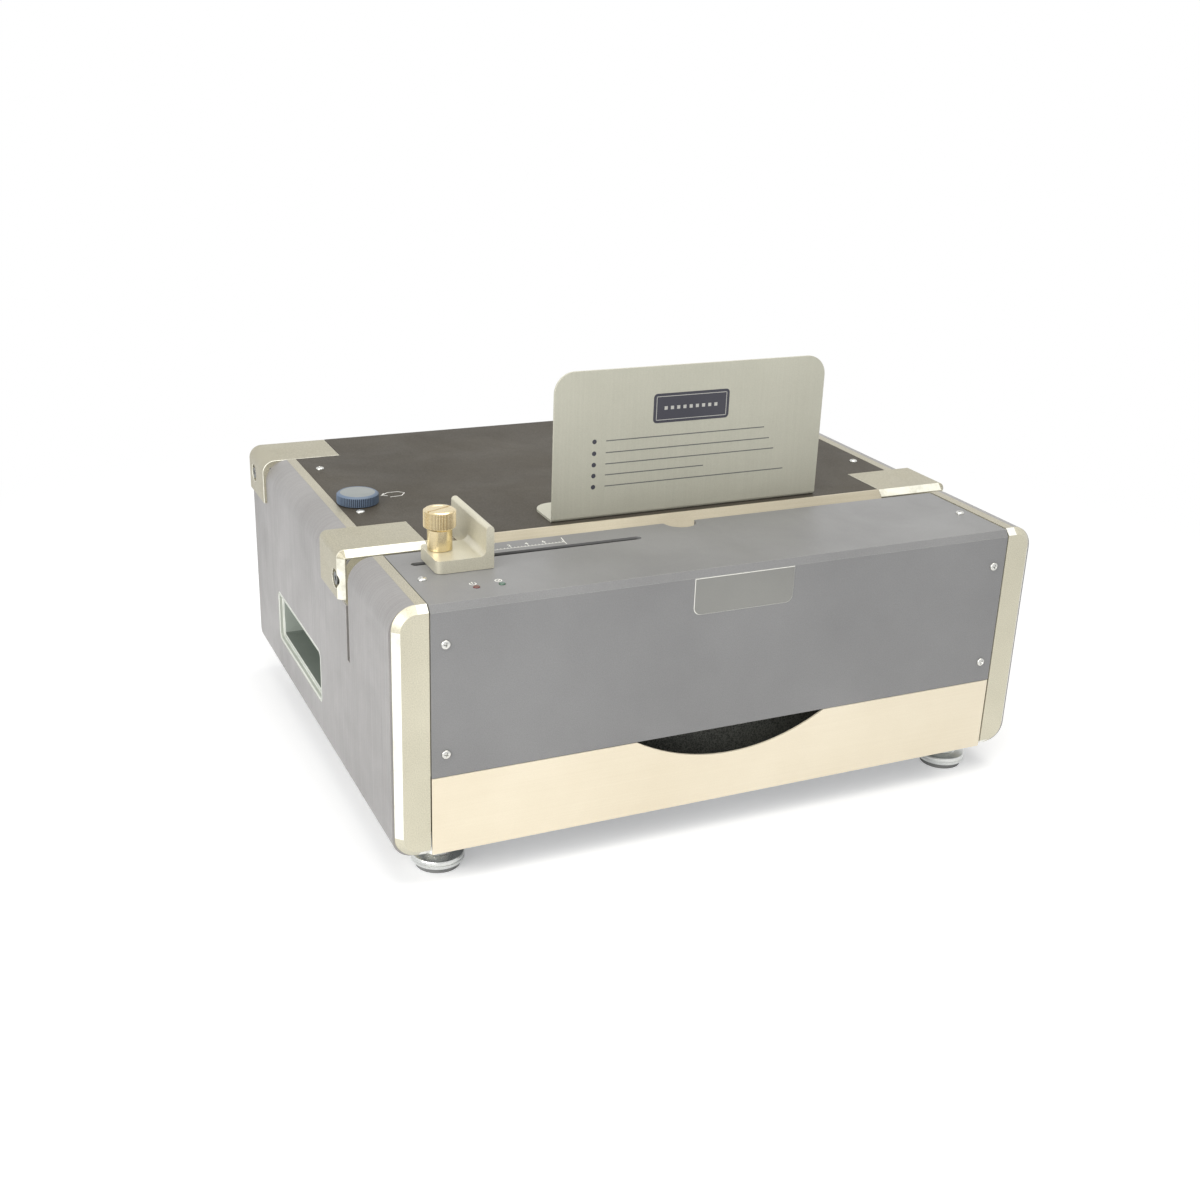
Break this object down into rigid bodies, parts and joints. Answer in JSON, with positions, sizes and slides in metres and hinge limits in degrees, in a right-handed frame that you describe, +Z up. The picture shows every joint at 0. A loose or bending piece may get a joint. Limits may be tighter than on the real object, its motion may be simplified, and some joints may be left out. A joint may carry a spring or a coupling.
{
  "type": "electric hole punch",
  "caption": "Desk binding punch: metal box on round feet with a paper slot along its top, upright paper rest, sliding edge guide, margin knob, chip tray and motor-driven row of pins.",
  "frame": {"origin": "centre of the base of the bounding box, on the desk", "axes": "+X to the machine's right as seen from its front, -Y towards the user, +Z up"},
  "size_m": [0.5484, 0.428, 0.3395],
  "materials": {
    "champagne_metal": "bead-blasted and clear anodised",
    "cream_metal": "satin champagne-cream paint",
    "grey_paint": "fine satin grey paint",
    "dark_paint": "satin dark brown-grey paint",
    "steel": "plain machined steel",
    "bright_steel": "nickel plated",
    "brass": "turned brass",
    "cast_alloy": "as cast",
    "grey_plastic": "moulded light grey",
    "blue_grey_plastic": "moulded blue-grey",
    "black_plastic": "moulded black",
    "board": "printed board",
    "rubber": "moulded rubber",
    "red_lens": "clear-tinted",
    "green_lens": "clear-tinted"
  },
  "bodies": {
    "housing": {"left_side_frame": "champagne_metal", "right_side_frame": "champagne_metal", "left_mid_bracket": "champagne_metal", "right_mid_bracket": "champagne_metal", "left_rear_bracket": "champagne_metal", "right_rear_bracket": "champagne_metal", "throat_rail": "champagne_metal", "backrest": "champagne_metal", "left_side_panel": "grey_paint", "right_side_panel": "grey_paint", "front_cover": "grey_paint", "back_cover": "grey_paint", "rear_top_panel": "dark_paint", "motor": "dark_paint", "base_plate": "steel", "die_plate": "steel", "punch_guide": "steel", "ram_guide_posts": "steel", "motor_stand": "steel", "tray_runners": "steel", "bracket_screws": "bright_steel", "front_cover_screws": "bright_steel", "top_panel_screws": "bright_steel", "back_cover_screws": "bright_steel", "backrest_screws": "bright_steel", "front_left_foot": "bright_steel", "front_right_foot": "bright_steel", "rear_left_foot": "bright_steel", "rear_right_foot": "bright_steel", "left_shaft_bush": "brass", "right_shaft_bush": "brass", "gearbox": "cast_alloy", "left_handle_cup": "grey_plastic", "right_handle_cup": "grey_plastic", "power_inlet": "black_plastic", "switch_housing": "black_plastic", "fuse_holder": "black_plastic", "control_board": "board", "foot_pads": "rubber", "power_lamp": "red_lens", "ready_lamp": "green_lens"},
    "tray": {"chip_bin": "dark_paint", "tray_front": "cream_metal"},
    "guide": {"edge_guide": "champagne_metal", "guide_clamp_plate": "steel"},
    "thumb": {"thumb_screw": "brass"},
    "knob": {"margin_knob": "blue_grey_plastic", "knob_shaft": "steel"},
    "stop": {"depth_stop": "steel"},
    "ram": {"ram_bar": "steel", "pin_holder": "steel", "punch_pins": "steel", "ram_yokes": "steel"},
    "crank": {"eccentric_shaft": "steel", "eccentric_discs": "steel", "drive_gear": "steel"},
    "pinion": {"motor_pinion": "steel"},
    "rocker": {"switch_rocker": "black_plastic"}
  },
  "joints": [
    {"name": "tray_slide", "type": "slide", "parent": "housing", "child": "tray", "axis": [0, -1, 0], "range_m": [0, 0.15]},
    {"name": "guide_slide", "type": "slide", "parent": "housing", "child": "guide", "axis": [1, 0, 0], "range_m": [-0.017, 0.158]},
    {"name": "thumb_turn", "type": "hinge", "parent": "guide", "child": "thumb", "pos_m": [-0.209, -0.13001, 0.235], "axis": [0, 0, 1], "range_deg": [0, 360]},
    {"name": "knob_turn", "type": "hinge", "parent": "housing", "child": "knob", "pos_m": [-0.2274, 0.02099, 0.22], "axis": [0, 0, 1], "range_deg": [-135, 135]},
    {"name": "stop_slide", "type": "slide", "parent": "housing", "child": "stop", "axis": [0, 0, 1], "range_m": [-0.002, 0.002]},
    {"name": "shaft_turn", "type": "hinge", "parent": "housing", "child": "crank", "pos_m": [0, -0.0124, 0.143], "axis": [1, 0, 0], "range_deg": [0, 180]},
    {"name": "ram_slide", "type": "slide", "parent": "housing", "child": "ram", "axis": [0, -1, 0], "range_m": [0, 0.012]},
    {"name": "pinion_turn", "type": "hinge", "parent": "housing", "child": "pinion", "pos_m": [0.207, 0.04385, 0.143], "axis": [1, 0, 0], "range_deg": [-720, 0]},
    {"name": "rocker_tip", "type": "hinge", "parent": "housing", "child": "rocker", "pos_m": [-0.13, 0.20899, 0.065], "axis": [1, 0, 0], "range_deg": [-16, 0]}
  ],
  "couplings": [
    {"joint": "knob_turn", "follows": "stop_slide", "rad_per_m": 1178.1},
    {"joint": "ram_slide", "follows": "shaft_turn", "m_per_rad": 0.003819},
    {"joint": "pinion_turn", "follows": "shaft_turn", "ratio": -4}
  ]
}
